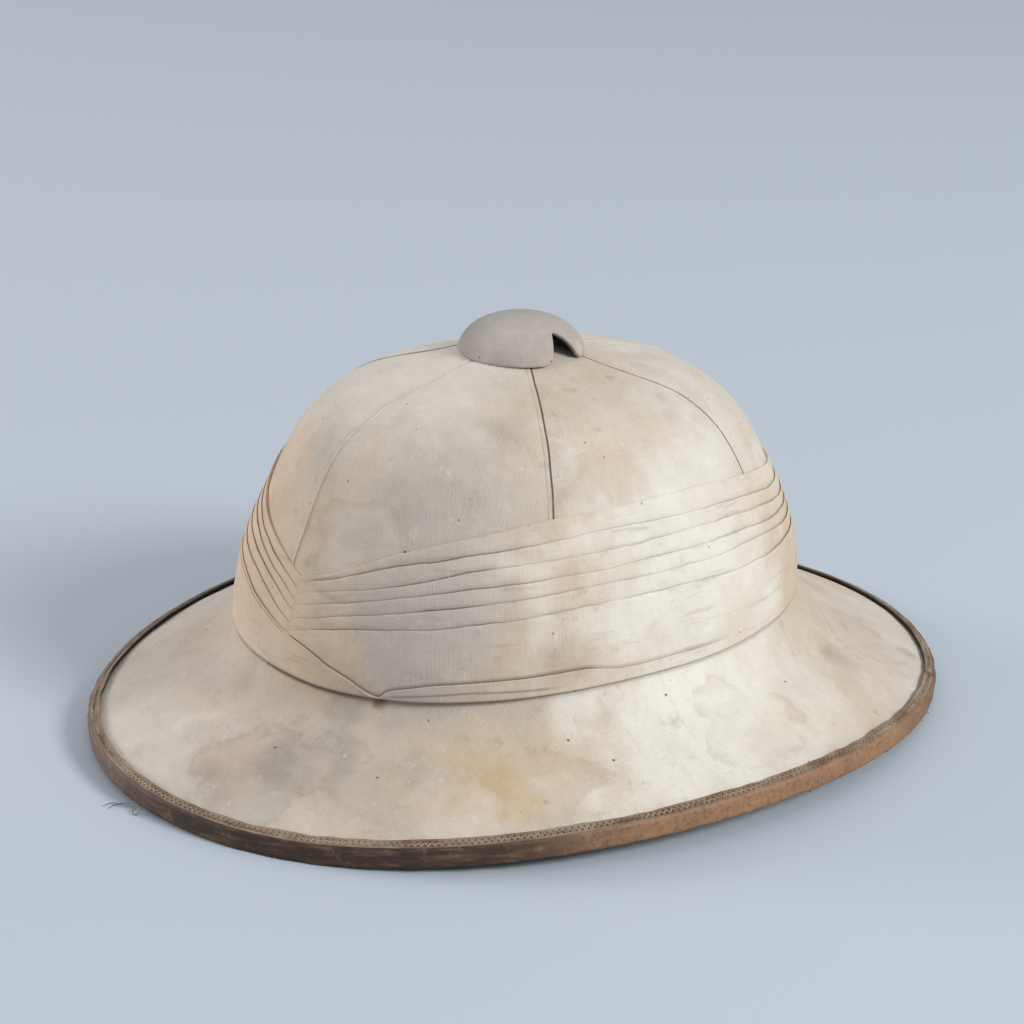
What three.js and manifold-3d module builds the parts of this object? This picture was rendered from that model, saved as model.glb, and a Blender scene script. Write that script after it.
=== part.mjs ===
// A pith helmet: a moulded crown on a flared brim, six raised seams over the crown, a pleated cloth
// band with a mitre in front, a leather binding round the brim and a domed vent cap on a post.
// Millimetres, +Z up. The wearer looks along -Y. The origin is on the floor under the brim's middle.
// A turn is an angle in degrees from the front (-Y) towards the wearer's left (+X).

import * as THREE from "three";
import { mergeVertices } from "three/addons/utils/BufferGeometryUtils.js";
import Module from "manifold-3d";

// ---- driving dimensions ----

const brim = {
  halfWidth: 144.5, // to the outside of the binding
  halfLength: 177.2,
  filletShare: 0.28, // how much of the brim's fall is in the curve beside the crown
  filletPower: 9,
};

// The brim's edge stands on the floor, and lifts in these places.
const edgeLifts = [
  { name: "left side", middle: 95, halfSpan: 75, height: 8.4 },
  { name: "right side", middle: -88, halfSpan: 66, height: 8.6 },
  { name: "front right", middle: -20, halfSpan: 50, height: 3.0 },
];
const edgeSettle = 0.4; // what the soft edge gives, so that it stands on two arcs and not on points

const crown = {
  halfWidth: 94.7, // at the foot, over the band
  halfLength: 114,
  squareness: 2.2, // 2 is an ellipse
  middleY: -3.2,
  footHeight: 44.6,
  footTilt: 4.9, // the foot is this much lower in front and higher behind
  top: 147.5,
  leanX: 3.4,
  leanY: -3.1,
  bandRecess: 1.9, // the cloth lies this far inside the band's outline
  recessFrom: 80,
  recessTo: 118,
};

// The crown's girth at each share of the rise from its foot to its top.
const crownSections = [
  { rise: 0, girth: 1 },
  { rise: 0.158, girth: 0.984 },
  { rise: 0.331, girth: 0.945 },
  { rise: 0.495, girth: 0.875 },
  { rise: 0.6375, girth: 0.804 },
  { rise: 0.76, girth: 0.718 },
  { rise: 0.861, girth: 0.585 },
  { rise: 0.9427, girth: 0.319 },
  { rise: 1, girth: 0 },
];

const shellWall = { crown: 5, edge: 3.6, collar: 3, ventHoleRadius: 9 };
const binding = { leather: 1.6, height: 7.9, topLip: 4.6, footLip: 7.2, footFlat: 2.6, corner: 1.3 };
const seams = { width: 1.9, height: 1.05, lift: 0.5, endGap: 0.6 };
const seamTurns = [3.9, 64.4, 130.4, 183.9, 244.4, 310.4];
const band = {
  thin: 0.7, // a pleat's thickness at its lower edge
  proud: 1.3, // and at its folded upper edge
  spread: 0.22, // each pleat stands this much further out than the one above
  apronSwell: 0.5,
  apronSwellShare: 0.45,
  hemHeight: 0.6,
  hemThickness: 2.2,
  ease: 0.35, // from the crown to the band's inside
};
const mitreTurn = 7.5;

// The band's fold heights, by the angle from the mitre. pleatA is the top edge, and apron the top of
// the plain deep fold at the foot.
const bandFolds = [
  { away: 0, pleatA: 77, pleatB: 72.5, pleatC: 68.5, pleatD: 64.5, pleatE: 60.5, apron: 57 },
  { away: 13, pleatA: 84.5, pleatB: 80.5, pleatC: 76, pleatD: 71.5, pleatE: 67.5, apron: 63.5 },
  { away: 23, pleatA: 92, pleatB: 87, pleatC: 81, pleatD: 76, pleatE: 71.5, apron: 67 },
  { away: 38, pleatA: 99, pleatB: 93, pleatC: 87.5, pleatD: 82, pleatE: 76.5, apron: 70.2 },
  { away: 58, pleatA: 105.7, pleatB: 98.3, pleatC: 91.8, pleatD: 85.8, pleatE: 80.3, apron: 72.8 },
  { away: 83, pleatA: 107, pleatB: 99.5, pleatC: 93, pleatD: 86.8, pleatE: 81.5, apron: 74.8 },
  { away: 113, pleatA: 105.5, pleatB: 98, pleatC: 92.3, pleatD: 86, pleatE: 81.5, apron: 74 },
  { away: 143, pleatA: 99, pleatB: 92, pleatC: 87, pleatD: 82.5, pleatE: 78.5, apron: 73 },
  { away: 180, pleatA: 94, pleatB: 88.5, pleatC: 84, pleatD: 80, pleatE: 76.5, apron: 72 },
];
const foldNames = ["pleatA", "pleatB", "pleatC", "pleatD", "pleatE", "apron"];

const ventCap = {
  radius: 24.4,
  rimHeight: 145.5,
  rise: 14.8,
  wall: 2.2,
  lipDrop: 0.4, // the rim's rounded edge hangs this far below rimHeight
  notchTurn: 102,
  notchStart: 3, // from the cap's axis
  notchHalfWidth: 6,
  notchHeight: 10.5,
  notchFlare: 2.2,
};
const post = { radius: 2.8, barLength: 27, barWidth: 6, barThickness: 1.6, underShell: 1.7 };

const capAxis = { x: crown.leanX, y: crown.middleY + crown.leanY };
const gap = 0.3; // between neighbouring pieces
const turnSteps = 60;
const turns = Array.from({ length: turnSteps }, (_, i) => mitreTurn + (i * 360) / turnSteps);

// ---- curves that the pieces share ----

// A smooth curve without overshoot through a table's rows.
function curveThrough(rows, along, value) {
  const x = rows.map((row) => row[along]);
  const y = rows.map((row) => row[value]);
  const slope = x.slice(1).map((next, i) => (y[i + 1] - y[i]) / (next - x[i]));
  const bend = x.map((_, i) => {
    if (i === 0) return slope[0];
    if (i === x.length - 1) return slope[i - 1];
    if (slope[i - 1] * slope[i] <= 0) return 0;
    return (2 * slope[i - 1] * slope[i]) / (slope[i - 1] + slope[i]);
  });
  return (at) => {
    let i = 0;
    while (i < x.length - 2 && at > x[i + 1]) i++;
    const span = x[i + 1] - x[i];
    const t = THREE.MathUtils.clamp((at - x[i]) / span, 0, 1);
    const start = y[i] * (1 + 2 * t) * (1 - t) ** 2 + bend[i] * span * t * (1 - t) ** 2;
    const end = y[i + 1] * t * t * (3 - 2 * t) + bend[i + 1] * span * t * t * (t - 1);
    return start + end;
  };
}

const roundedSections = crownSections.map(({ rise, girth }) => ({
  rise,
  area: girth ** crown.squareness,
}));
const areaAt = curveThrough(roundedSections, "rise", "area");
const girthAt = (rise) => Math.max(areaAt(rise), 0) ** (1 / crown.squareness);
const foldCurves = foldNames.map((name) => curveThrough(bandFolds, "away", name));

const sine = (turn) => Math.sin(THREE.MathUtils.degToRad(turn));
const cosine = (turn) => Math.cos(THREE.MathUtils.degToRad(turn));
const angleBetween = (a, b) => Math.abs(THREE.MathUtils.euclideanModulo(a - b + 180, 360) - 180);

function ovalRadius(turn, halfWidth, halfLength, power) {
  const across = Math.abs(sine(turn) / halfWidth) ** power;
  const along = Math.abs(cosine(turn) / halfLength) ** power;
  return (across + along) ** (-1 / power);
}

function edgeHeight(turn) {
  const rises = edgeLifts.map(({ middle, halfSpan, height }) => {
    const share = Math.max(1 - (angleBetween(turn, middle) / halfSpan) ** 2, 0);
    return height * share ** 2;
  });
  return Math.max(rises.reduce((sum, rise) => sum + rise) - edgeSettle, 0);
}

// The outermost line of the brim and the level direction straight out from it.
function edgeFrame(turn) {
  const radius = ovalRadius(turn, brim.halfWidth, brim.halfLength, 2);
  const x = radius * sine(turn);
  const y = -radius * cosine(turn);
  const out = new THREE.Vector3(x / brim.halfWidth ** 2, y / brim.halfLength ** 2, 0).normalize();
  return { point: new THREE.Vector3(x, y, edgeHeight(turn)), out };
}

const footHeight = (turn) => crown.footHeight - crown.footTilt * cosine(turn) * Math.abs(cosine(turn));

function crownPoint(turn, rise) {
  const foot = footHeight(turn);
  const z = foot + (crown.top - foot) * rise;
  const girth = girthAt(rise);
  const recess = 1 - THREE.MathUtils.smoothstep(z, crown.recessFrom, crown.recessTo);
  const outline = ovalRadius(turn, crown.halfWidth * girth, crown.halfLength * girth, crown.squareness);
  const radius = outline - crown.bandRecess * recess;
  const x = radius * sine(turn) + crown.leanX * rise ** 2;
  const y = -radius * cosine(turn) + crown.middleY + crown.leanY * rise ** 2;
  return new THREE.Vector3(x, y, z);
}

// reach is 0 at the crown's foot and 1 at the shell's own edge, inside the binding.
function brimPoint(turn, reach) {
  const { point, out } = edgeFrame(turn);
  const edge = point.clone().addScaledVector(out, -(binding.leather + 2 * gap));
  edge.z += binding.height - binding.leather - gap;
  const foot = crownPoint(turn, 0);
  const left = 1 - reach;
  const fall = (1 - brim.filletShare) * left + brim.filletShare * left ** brim.filletPower;
  const place = foot.clone().lerp(edge, reach);
  place.z = edge.z + (foot.z - edge.z) * fall;
  return place;
}

// The shell's outer face: along 0 to 1 climbs the brim, and 1 to 2 climbs the crown.
function shellFace(turn, along) {
  return along <= 1 ? brimPoint(turn, 1 - along) : crownPoint(turn, along - 1);
}

function faceNormal(turn, along) {
  const step = 0.004;
  const low = Math.max(along - step, 0);
  const up = shellFace(turn, along + step).sub(shellFace(turn, low));
  const round = shellFace(turn + 1, along).sub(shellFace(turn - 1, along));
  return round.cross(up).normalize();
}

function besideShell(turn, along, distance) {
  return shellFace(turn, along).addScaledVector(faceNormal(turn, along), distance);
}

function alongAtHeight(turn, z) {
  const foot = footHeight(turn);
  return 1 + (z - foot) / (crown.top - foot);
}

// The face's place where the crown has closed in to a given distance from the cap's axis.
function alongNearCap(turn, distance) {
  let low = 0.5;
  let high = 1;
  for (let i = 0; i < 30; i++) {
    const middle = (low + high) / 2;
    const { x, y } = crownPoint(turn, middle);
    if (Math.hypot(x - capAxis.x, y - capAxis.y) > distance) low = middle;
    else high = middle;
  }
  return 1 + low;
}

// ---- solids from loops of points ----

function signedVolume(geometry) {
  const at = geometry.getAttribute("position");
  const corners = [0, 1, 2].map(() => new THREE.Vector3());
  let volume = 0;
  for (let i = 0; i < geometry.index.count; i += 3) {
    corners.forEach((corner, k) => corner.fromBufferAttribute(at, geometry.index.getX(i + k)));
    volume += corners[0].dot(corners[1].clone().cross(corners[2])) / 6;
  }
  return volume;
}

// A closed solid through loops with equal numbers of points. It joins up in a ring or is capped.
function solidThrough(loops, isRing) {
  const size = loops[0].length;
  const points = loops.flat();
  const index = [];
  const spans = isRing ? loops.length : loops.length - 1;
  for (let i = 0; i < spans; i++) {
    for (let j = 0; j < size; j++) {
      const here = i * size;
      const there = ((i + 1) % loops.length) * size;
      const next = (j + 1) % size;
      index.push(here + j, there + j, here + next);
      index.push(here + next, there + j, there + next);
    }
  }
  if (!isRing) {
    const last = (loops.length - 1) * size;
    for (let j = 1; j < size - 1; j++) {
      index.push(0, j, j + 1);
      index.push(last, last + j + 1, last + j);
    }
  }
  const geometry = new THREE.BufferGeometry().setFromPoints(points);
  geometry.setIndex(index);
  if (signedVolume(geometry) < 0) geometry.setIndex(index.reverse());
  geometry.computeVertexNormals();
  return geometry;
}

const wasm = await Module();
wasm.setup();

function toSolid(geometry) {
  const bare = geometry.clone();
  bare.deleteAttribute("normal");
  bare.deleteAttribute("uv");
  const merged = mergeVertices(bare, 1e-4);
  return new wasm.Manifold(
    new wasm.Mesh({
      numProp: 3,
      vertProperties: merged.getAttribute("position").array,
      triVerts: new Uint32Array(merged.index.array),
    }),
  );
}

function toGeometry(solid) {
  const mesh = solid.getMesh();
  const geometry = new THREE.BufferGeometry();
  geometry.setAttribute("position", new THREE.BufferAttribute(mesh.vertProperties, mesh.numProp));
  geometry.setIndex(new THREE.BufferAttribute(mesh.triVerts, 1));
  geometry.computeVertexNormals();
  return geometry;
}

// ---- the pieces ----

const brimStations = [0, 0.12, 0.3, 0.5, 0.68, 0.82, 0.91, 0.97, 1];
const brimLining = [0.06, 0.3, 0.6, 0.85, 1];
const crownStations = [1.12, 1.28, 1.44, 1.58, 1.7, 1.8, 1.88, 1.94];
const crownLining = [1.2, 1.42, 1.6, 1.76, 1.9];

const wallAt = (along) => THREE.MathUtils.lerp(shellWall.edge, shellWall.crown, Math.min(along, 1));
const outerFace = (turn, stations) => stations.map((along) => shellFace(turn, along));
const innerFace = (turn, stations) =>
  stations.toReversed().map((along) => besideShell(turn, along, -wallAt(along)));

// The brim with a low collar, which the band covers.
function brimGeometry() {
  const loops = turns.map((turn) => {
    const collar = alongAtHeight(turn, footHeight(turn) + shellWall.collar);
    const under = shellFace(turn, 0);
    under.z -= shellWall.edge;
    return [
      ...outerFace(turn, [...brimStations, collar]),
      ...innerFace(turn, [...brimLining, collar]),
      under,
    ];
  });
  return solidThrough(loops, true);
}

function crownGeometry() {
  const loops = turns.map((turn) => {
    const foot = alongAtHeight(turn, footHeight(turn) + shellWall.collar + gap);
    const hole = alongNearCap(turn, shellWall.ventHoleRadius);
    return [
      ...outerFace(turn, [foot, ...crownStations, hole]),
      ...innerFace(turn, [foot, ...crownLining, hole]),
    ];
  });
  return solidThrough(loops, true);
}

// The U of leather round the edge: out is measured outwards from the hat's outline, up from its foot.
function bindingGeometry() {
  const { leather, height, topLip, footLip, footFlat, corner } = binding;
  const loops = turns.map((turn) => {
    const { point, out } = edgeFrame(turn);
    const high = brimPoint(turn, 0.8);
    const low = brimPoint(turn, 1);
    const slope = (high.z - low.z) / Math.hypot(high.x - low.x, high.y - low.y);
    const flatEnd = 1 + footFlat;
    const topRise = (topLip - corner) * slope;
    const footRise = (footLip - flatEnd) * slope;
    const section = [
      { inward: 1, up: 0 },
      { inward: 0, up: corner },
      { inward: 0, up: height - corner },
      { inward: corner, up: height },
      { inward: topLip, up: height + topRise },
      { inward: topLip, up: height + topRise - leather },
      { inward: leather + gap, up: height - leather },
      { inward: leather + gap, up: leather },
      { inward: flatEnd, up: leather },
      { inward: footLip, up: leather + footRise },
      { inward: footLip, up: footRise },
      { inward: flatEnd, up: 0 },
    ];
    return section.map(({ inward, up }) => {
      const place = point.clone().addScaledVector(out, -inward);
      place.z += up;
      return place;
    });
  });
  return solidThrough(loops, true);
}

// Each fold's upper edge stands proud of the pleat above it.
function bandSection(turn) {
  const away = angleBetween(turn, mitreTurn);
  const heights = foldCurves.map((curve) => curve(away));
  const foot = footHeight(turn) + band.hemHeight;
  const outside = [];
  heights.forEach((height, i) => {
    const layer = gap + i * band.spread;
    outside.push({ height, distance: layer + band.proud });
    if (i < heights.length - 1) outside.push({ height: heights[i + 1] + gap, distance: layer + band.thin });
  });
  const apronLayer = outside.at(-1).distance - band.proud + band.thin + band.apronSwell;
  const apronTop = heights.at(-1);
  const swellHeight = THREE.MathUtils.lerp(foot, apronTop, band.apronSwellShare);
  outside.push({ height: swellHeight, distance: apronLayer });
  outside.push({ height: foot, distance: gap + band.hemThickness });
  const insideSteps = 6;
  const inside = Array.from({ length: insideSteps }, (_, i) => ({
    height: THREE.MathUtils.lerp(foot, heights[0] - gap, i / (insideSteps - 1)),
    distance: band.ease,
  }));
  return [...outside, ...inside];
}

function bandGeometry() {
  const loops = turns.map((turn) =>
    bandSection(turn).map(({ height, distance }) =>
      besideShell(turn, alongAtHeight(turn, height), distance),
    ),
  );
  return solidThrough(loops, true);
}

function seamGeometry(turn) {
  const half = seams.width / 2;
  const section = [
    { side: -half, up: seams.lift },
    { side: -0.6 * half, up: seams.lift + 0.8 * seams.height },
    { side: 0, up: seams.lift + seams.height },
    { side: 0.6 * half, up: seams.lift + 0.8 * seams.height },
    { side: half, up: seams.lift },
  ];
  const bandTop = foldCurves[0](angleBetween(turn, mitreTurn));
  const from = alongAtHeight(turn, bandTop + seams.endGap);
  const to = alongNearCap(turn, ventCap.radius + seams.endGap);
  const steps = 12;
  const loops = Array.from({ length: steps + 1 }, (_, i) => {
    const along = THREE.MathUtils.lerp(from, to, Math.sin((i / steps) * (Math.PI / 2)));
    const normal = faceNormal(turn, along);
    const sideways = shellFace(turn + 1, along).sub(shellFace(turn - 1, along)).normalize();
    return section.map(({ side, up }) =>
      shellFace(turn, along).addScaledVector(normal, up).addScaledVector(sideways, side),
    );
  });
  return solidThrough(loops, false);
}

function domeProfile(radius, rise, steps) {
  return Array.from({ length: steps + 1 }, (_, i) => {
    const angle = (i / steps) * (Math.PI / 2);
    const x = i < steps ? radius * Math.cos(angle) : 0;
    return new THREE.Vector2(x, rise * Math.sin(angle));
  });
}

// An arch that flares into rounded corners at the cap's rim.
function notchShape() {
  const { notchHalfWidth: half, notchHeight: height, notchFlare: flare } = ventCap;
  const shape = new THREE.Shape();
  shape.moveTo(-half - flare, -1);
  shape.quadraticCurveTo(-half, 0, -half + 0.6, flare * 1.4);
  shape.quadraticCurveTo(-0.34 * half, height, 0, height);
  shape.quadraticCurveTo(0.34 * half, height, half - 0.6, flare * 1.4);
  shape.quadraticCurveTo(half, 0, half + flare, -1);
  return shape;
}

function ventCapGeometry() {
  const { radius, rise, wall, lipDrop, notchTurn, notchStart } = ventCap;
  const outside = domeProfile(radius, rise, 8);
  const inside = domeProfile(radius - wall, rise - wall, 6).toReversed();
  const lip = new THREE.Vector2(radius - wall / 2, -lipDrop);
  const profile = [...outside, ...inside, lip, outside[0]];
  const dome = new THREE.LatheGeometry(profile, 34).rotateX(Math.PI / 2);
  const archSettings = { depth: radius, bevelEnabled: false, curveSegments: 5 };
  const arch = new THREE.ExtrudeGeometry(notchShape(), archSettings);
  arch.translate(0, 0, notchStart).rotateX(Math.PI / 2);
  const opposite = arch.clone().rotateZ(Math.PI);
  const cut = toSolid(dome).subtract(toSolid(arch)).subtract(toSolid(opposite));
  return toGeometry(cut).rotateZ(THREE.MathUtils.degToRad(notchTurn));
}

// A stem through the vent hole, with a bar on each side of the shell.
function postGeometry() {
  const { radius, barLength, barWidth, barThickness, underShell } = post;
  const lowBar = crown.top - shellWall.crown - underShell - barThickness / 2;
  const topBar = crown.top + gap + barThickness / 2;
  const stemTop = ventCap.rimHeight + ventCap.rise - ventCap.wall - gap;
  const barAt = (z) => new THREE.BoxGeometry(barWidth, barLength, barThickness).translate(0, 0, z);
  const stem = new THREE.CylinderGeometry(radius, radius, stemTop - lowBar, 16);
  stem.rotateX(Math.PI / 2).translate(0, 0, (stemTop + lowBar) / 2);
  return toGeometry(toSolid(stem).add(toSolid(barAt(lowBar))).add(toSolid(barAt(topBar))));
}

// ---- materials and assembly ----

const canvas = new THREE.MeshStandardMaterial({ color: 0xd2c2ac, roughness: 0.92, metalness: 0 });
const bandCloth = new THREE.MeshStandardMaterial({ color: 0xd8c5ab, roughness: 0.9, metalness: 0 });
const leatherTan = new THREE.MeshStandardMaterial({ color: 0x7a5636, roughness: 0.62, metalness: 0 });
const postMetal = new THREE.MeshStandardMaterial({ color: 0x6b6459, roughness: 0.5, metalness: 0.7 });

function addPiece(parent, name, geometry, material) {
  const piece = new THREE.Mesh(geometry, material);
  piece.name = name;
  parent.add(piece);
  return piece;
}

const helmet = new THREE.Group();
addPiece(helmet, "crown_shell", crownGeometry(), canvas);
addPiece(helmet, "brim_shell", brimGeometry(), canvas);
addPiece(helmet, "brim_binding", bindingGeometry(), leatherTan);
addPiece(helmet, "pugaree", bandGeometry(), bandCloth);
seamTurns.forEach((turn, i) => {
  addPiece(helmet, `crown_seam_${i + 1}`, seamGeometry(turn), canvas);
});

const capPlace = new THREE.Group();
capPlace.position.set(capAxis.x, capAxis.y, 0);
addPiece(capPlace, "vent_cap", ventCapGeometry(), canvas).position.z = ventCap.rimHeight;
addPiece(capPlace, "vent_post", postGeometry(), postMetal);
helmet.add(capPlace);

export default helmet;
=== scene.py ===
# A pith helmet: canvas shell, felled seams, pleated pugaree, stitched leather binding and vent cap.
# Lengths in the tables are in millimetres and turns in degrees, from the front towards the wearer's
# left. Meshes are made in metres.

import math

import bpy
import numpy as np
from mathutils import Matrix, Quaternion, Vector


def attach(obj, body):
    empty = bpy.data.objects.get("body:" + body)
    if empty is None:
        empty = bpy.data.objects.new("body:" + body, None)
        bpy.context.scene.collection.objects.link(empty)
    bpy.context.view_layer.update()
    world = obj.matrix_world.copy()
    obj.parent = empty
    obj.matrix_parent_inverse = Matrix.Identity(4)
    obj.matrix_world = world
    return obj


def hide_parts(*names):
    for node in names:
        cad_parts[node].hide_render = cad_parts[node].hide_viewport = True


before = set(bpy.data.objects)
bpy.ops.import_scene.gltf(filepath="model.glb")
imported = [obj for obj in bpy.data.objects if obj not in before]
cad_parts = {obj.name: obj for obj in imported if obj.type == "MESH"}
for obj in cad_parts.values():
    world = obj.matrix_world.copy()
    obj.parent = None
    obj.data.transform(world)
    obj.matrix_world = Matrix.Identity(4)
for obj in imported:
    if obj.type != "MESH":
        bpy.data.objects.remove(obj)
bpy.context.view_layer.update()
print("frame loaded")


# shape of the hat

brim = {"halfWidth": 144.5, "halfLength": 177.2, "filletShare": 0.28, "filletPower": 9}
edgeLifts = [(95, 75, 8.4), (-88, 66, 8.6), (-20, 50, 3.0)]  # middle turn, half span, height
edgeSettle = 0.4
crown = {
    "halfWidth": 94.7, "halfLength": 114, "squareness": 2.2, "middleY": -3.2,
    "footHeight": 44.6, "footTilt": 4.9, "top": 147.5, "leanX": 3.4, "leanY": -3.1,
    "bandRecess": 1.9, "recessFrom": 80, "recessTo": 118,
}
crownRise = [0, 0.158, 0.331, 0.495, 0.6375, 0.76, 0.861, 0.9427, 1]
crownGirth = [1, 0.984, 0.945, 0.875, 0.804, 0.718, 0.585, 0.319, 0]
seamTurns = [3.9, 64.4, 130.4, 183.9, 244.4, 310.4]
leather = {
    "thick": 1.6, "height": 7.9, "topLip": 4.6, "footLip": 7.2, "footFlat": 2.6, "corner": 1.3,
}
gap = 0.3
capAxis = (crown["leanX"], crown["middleY"] + crown["leanY"])


def smooth(low, high, value):
    t = np.clip((value - low) / (high - low), 0, 1)
    return t * t * (3 - 2 * t)


def lerp(a, b, t):
    return a + (b - a) * t


def curveThrough(rows):
    # a smooth curve without overshoot, held level past its ends
    x, y = np.array(rows, float).T
    order = np.argsort(x)
    x, y = x[order], y[order]
    slope = np.diff(y) / np.diff(x)
    inner = slope[:-1] * slope[1:]
    total = slope[:-1] + slope[1:]
    safe = np.where(np.abs(total) > 1e-12, total, 1)
    middle = np.where(inner > 0, 2 * inner / safe, 0)
    bend = np.concatenate([[slope[0]], middle, [slope[-1]]])

    def at(value):
        value = np.asarray(value, float)
        i = np.clip(np.searchsorted(x, value, side="right") - 1, 0, len(x) - 2)
        span = x[i + 1] - x[i]
        t = np.clip((value - x[i]) / span, 0, 1)
        start = y[i] * (1 + 2 * t) * (1 - t) ** 2 + bend[i] * span * t * (1 - t) ** 2
        return start + y[i + 1] * t * t * (3 - 2 * t) + bend[i + 1] * span * t * t * (t - 1)

    return at


def wobble(seed, *coordinates):
    # smooth noise, roughly from -1 to 1, that varies over about one unit of each coordinate
    random = np.random.default_rng(seed)
    total = 0
    for _ in range(7):
        push = random.normal(size=len(coordinates)) * 2.2
        angle = sum(c * p for c, p in zip(coordinates, push)) + random.uniform(0, 6.28)
        total = total + np.sin(angle)
    return total / 3.2


def ringNoise(seed, turn, waves):
    # noise that closes up round the hat
    random = np.random.default_rng(seed)
    total = 0
    for k in range(1, waves + 1):
        size = random.normal() / math.sqrt(1 + (k / (0.55 * waves)) ** 4)
        total = total + size * np.sin(k * np.radians(turn) + random.uniform(0, 6.28))
    return total / math.sqrt(waves)


areaAt = curveThrough([(r, g ** crown["squareness"]) for r, g in zip(crownRise, crownGirth)])


def ovalRadius(turn, halfWidth, halfLength, power):
    across = np.abs(np.sin(np.radians(turn)) / halfWidth) ** power
    along = np.abs(np.cos(np.radians(turn)) / halfLength) ** power
    return (across + along) ** (-1 / power)


def edgeHeight(turn):
    total = 0
    for middle, halfSpan, height in edgeLifts:
        away = np.abs((turn - middle + 180) % 360 - 180)
        total = total + height * np.maximum(1 - (away / halfSpan) ** 2, 0) ** 2
    return np.maximum(total - edgeSettle, 0)


def edgeFrame(turn):
    turn = np.asarray(turn, float)
    radius = ovalRadius(turn, brim["halfWidth"], brim["halfLength"], 2)
    x, y = radius * np.sin(np.radians(turn)), -radius * np.cos(np.radians(turn))
    out = np.stack([x / brim["halfWidth"] ** 2, y / brim["halfLength"] ** 2, 0 * x], -1)
    out /= np.linalg.norm(out, axis=-1, keepdims=True)
    return np.stack([x, y, edgeHeight(turn)], -1), out


def footHeight(turn):
    c = np.cos(np.radians(turn))
    return crown["footHeight"] - crown["footTilt"] * c * np.abs(c)


def crownPoint(turn, rise):
    foot = footHeight(turn)
    z = foot + (crown["top"] - foot) * rise
    girth = np.maximum(areaAt(rise), 1e-9) ** (1 / crown["squareness"])
    outline = ovalRadius(
        turn, crown["halfWidth"] * girth, crown["halfLength"] * girth, crown["squareness"]
    )
    radius = outline - crown["bandRecess"] * (1 - smooth(crown["recessFrom"], crown["recessTo"], z))
    x = radius * np.sin(np.radians(turn)) + crown["leanX"] * rise ** 2
    y = -radius * np.cos(np.radians(turn)) + crown["middleY"] + crown["leanY"] * rise ** 2
    return np.stack([x, y, z], -1)


def brimPoint(turn, reach):
    point, out = edgeFrame(turn)
    edge = point - out * (leather["thick"] + 2 * gap)
    edge[..., 2] += leather["height"] - leather["thick"] - gap
    foot = crownPoint(turn, 0 * turn)
    left = 1 - reach
    fall = (1 - brim["filletShare"]) * left + brim["filletShare"] * left ** brim["filletPower"]
    place = foot + (edge - foot) * reach[..., None]
    place[..., 2] = edge[..., 2] + (foot[..., 2] - edge[..., 2]) * fall
    return place


def shellFace(turn, along):
    turn, along = np.broadcast_arrays(np.asarray(turn, float), np.asarray(along, float))
    low = brimPoint(turn, 1 - np.minimum(along, 1))
    high = crownPoint(turn, np.clip(along - 1, 0, 1))
    return np.where((along <= 1)[..., None], low, high)


def faceNormal(turn, along):
    step = 0.004
    up = shellFace(turn, along + step) - shellFace(turn, np.maximum(along - step, 0))
    around = shellFace(turn + 1, along) - shellFace(turn - 1, along)
    normal = np.cross(around, up)
    return normal / np.linalg.norm(normal, axis=-1, keepdims=True)


def besideShell(turn, along, distance):
    turn, along = np.broadcast_arrays(np.asarray(turn, float), np.asarray(along, float))
    distance = np.broadcast_to(distance, turn.shape)
    return shellFace(turn, along) + faceNormal(turn, along) * distance[..., None]


def alongAtHeight(turn, z):
    foot = footHeight(turn)
    return 1 + (z - foot) / (crown["top"] - foot)


def alongNearCap(turn, distance):
    low, high = np.full(np.shape(turn), 0.5), np.ones(np.shape(turn))
    for _ in range(30):
        middle = (low + high) / 2
        p = crownPoint(turn, middle)
        outside = np.hypot(p[..., 0] - capAxis[0], p[..., 1] - capAxis[1]) > distance
        low, high = np.where(outside, middle, low), np.where(outside, high, middle)
    return 1 + low


# meshes from rows of points

def makeMesh(name, points, faces, cornerUv=None, dirtAndShade=None):
    mesh = bpy.data.meshes.new(name)
    points = np.asarray(points, float).reshape(-1, 3) / 1000
    faces = np.asarray(faces, int)
    if signedVolume(points, faces) < 0:
        faces = faces[:, ::-1]
        cornerUv = None if cornerUv is None else cornerUv[:, ::-1]
    mesh.from_pydata(points.tolist(), [], faces.tolist())
    if cornerUv is not None:
        layer = mesh.uv_layers.new(name="cloth")
        layer.data.foreach_set("uv", np.ascontiguousarray(cornerUv, np.float32).ravel())
    marks = mesh.attributes.new("dirtAndShade", "FLOAT", "POINT")
    values = np.zeros(len(points)) if dirtAndShade is None else np.asarray(dirtAndShade, float).ravel()
    marks.data.foreach_set("value", values.astype(np.float32))
    mesh.polygons.foreach_set("use_smooth", np.ones(len(faces), bool))
    mesh.update()
    piece = bpy.data.objects.new(name, mesh)
    bpy.context.scene.collection.objects.link(piece)
    return piece


def signedVolume(points, faces):
    a, b, c = points[faces[:, 0]], points[faces[:, 1]], points[faces[:, 2]]
    volume = np.einsum("ij,ij->i", a, np.cross(b, c)).sum()
    if faces.shape[1] == 4:
        d = points[faces[:, 3]]
        volume += np.einsum("ij,ij->i", a, np.cross(c, d)).sum()
    return volume


def gridCorners(n, m, closeAround, closeAcross):
    rows = np.arange(n if closeAround else n - 1)
    columns = np.arange(m if closeAcross else m - 1)
    i, j = np.meshgrid(rows, columns, indexing="ij")
    steps = [(0, 0), (1, 0), (1, 1), (0, 1)]
    return np.stack([np.stack([i + a, j + b], -1) for a, b in steps], 2).reshape(-1, 4, 2)


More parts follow.
